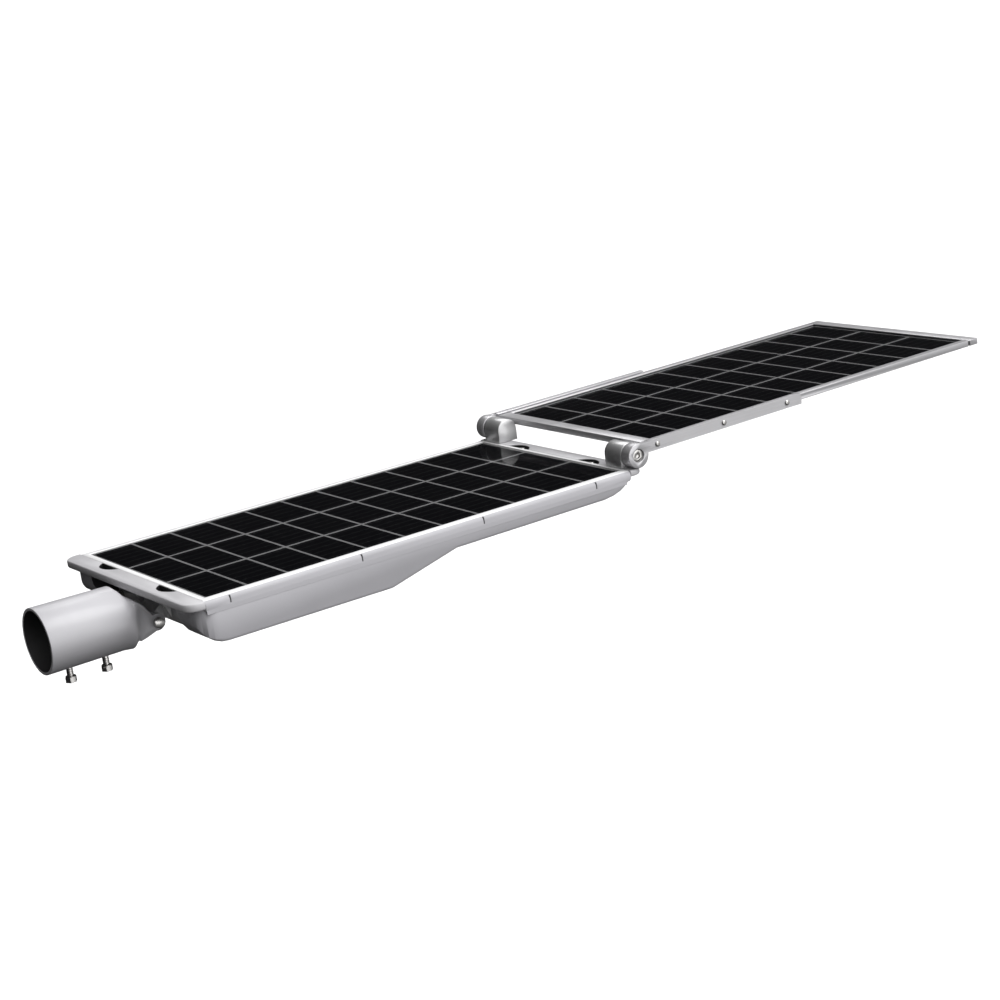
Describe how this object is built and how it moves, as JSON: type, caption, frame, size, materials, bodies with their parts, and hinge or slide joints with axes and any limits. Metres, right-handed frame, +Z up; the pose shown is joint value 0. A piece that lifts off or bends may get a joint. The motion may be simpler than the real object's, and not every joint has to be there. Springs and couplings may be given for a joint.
{
  "type": "solar street lamp",
  "caption": "All-in-one solar street lamp: pole spigot with tilt joint, slim lamp body under a solar panel, and a second panel that folds out on a hinge.",
  "frame": {"origin": "centre of the pole spigot's mouth, on the spigot's axis", "axes": "+X from the pole along the lamp to the tip of the fold-out panel, +Z up, +Y to the left seen from the pole"},
  "size_m": [1.1297, 0.2836, 0.111],
  "materials": {
    "spigot_coat": "satin",
    "grey_powder_coat": "satin",
    "bezel_coat": "satin",
    "cap_coat": "satin",
    "cast_aluminium": "satin",
    "anodised_rail": "satin",
    "bare_aluminium": "satin",
    "stainless_steel": "satin",
    "black_plastic": "matte",
    "black_rubber": "matte",
    "panel_glass": "gloss",
    "silicon_cell": "satin",
    "backsheet": "matte",
    "cell_wrap": "satin",
    "circuit_board": "matte",
    "lens_plastic": "gloss",
    "button_red": "satin"
  },
  "bodies": {
    "pole_spigot": {"spigot": "spigot_coat"},
    "set_bolt_outer": {"set_bolt_outer": "stainless_steel"},
    "set_bolt_inner": {"set_bolt_inner": "stainless_steel"},
    "lamp_body": {"tilt_bracket": "cast_aluminium", "bracket_bolt_1": "stainless_steel", "bracket_bolt_2": "stainless_steel", "tilt_bolt": "stainless_steel", "tilt_nut": "stainless_steel", "lower_housing": "grey_powder_coat", "bezel_frame": "bezel_coat", "panel_gasket": "black_rubber", "pole_end_cap": "cap_coat", "hinge_end_cap": "cap_coat", "pole_cap_screw_left": "stainless_steel", "pole_cap_screw_right": "stainless_steel", "hinge_cap_screw_left": "stainless_steel", "hinge_cap_screw_right": "stainless_steel", "main_glass": "panel_glass", "main_cells": "silicon_cell", "main_backsheet": "backsheet", "battery_door": "grey_powder_coat", "battery_door_seal": "black_rubber", "battery_holder": "black_plastic", "battery_pack_1": "cell_wrap", "battery_pack_2": "cell_wrap", "charge_controller": "circuit_board", "button_collar": "black_plastic", "vent_plug": "black_plastic", "lens_plate": "lens_plastic", "lens_seal": "black_rubber", "lens_frame": "grey_powder_coat", "led_board": "bare_aluminium", "hinge_block_left": "cast_aluminium", "hinge_block_right": "cast_aluminium", "hinge_block_screw_left": "stainless_steel", "hinge_block_screw_right": "stainless_steel", "hinge_bolt_left": "stainless_steel", "hinge_bolt_right": "stainless_steel", "friction_washer_left": "black_plastic", "friction_washer_right": "black_plastic"},
    "power_button": {"power_button": "button_red"},
    "fold_out_panel": {"hinge_arm_left": "anodised_rail", "hinge_arm_right": "anodised_rail", "arm_screw_left_1": "stainless_steel", "arm_screw_left_2": "stainless_steel", "arm_screw_left_3": "stainless_steel", "arm_screw_right_1": "stainless_steel", "arm_screw_right_2": "stainless_steel", "arm_screw_right_3": "stainless_steel", "panel_rail_left": "anodised_rail", "panel_rail_right": "anodised_rail", "panel_rail_hinge_end": "anodised_rail", "panel_rail_tip_end": "anodised_rail", "fold_out_glass": "panel_glass", "fold_out_cells": "silicon_cell", "fold_out_backsheet": "backsheet", "junction_box": "black_plastic", "junction_box_lid": "black_plastic", "junction_box_gland": "black_plastic"}
  },
  "joints": [
    {"name": "set_bolt_outer_travel", "type": "slide", "parent": "pole_spigot", "child": "set_bolt_outer", "axis": [0, 0, 1], "range_m": [-0.006, 0.006]},
    {"name": "set_bolt_inner_travel", "type": "slide", "parent": "pole_spigot", "child": "set_bolt_inner", "axis": [0, 0, 1], "range_m": [-0.006, 0.006]},
    {"name": "head_tilt", "type": "hinge", "parent": "pole_spigot", "child": "lamp_body", "pos_m": [0.1128, 0, -0.0085], "axis": [0, -1, 0], "range_deg": [-15, 5]},
    {"name": "button_travel", "type": "slide", "parent": "lamp_body", "child": "power_button", "axis": [0, 0, 1], "range_m": [0, 0.0018], "stiffness_N_per_m": 900, "springref_m": -0.0006},
    {"name": "panel_fold", "type": "hinge", "parent": "lamp_body", "child": "fold_out_panel", "pos_m": [0.6217, 0, 0.0467], "axis": [0, -1, 0], "range_deg": [0, 179]}
  ]
}
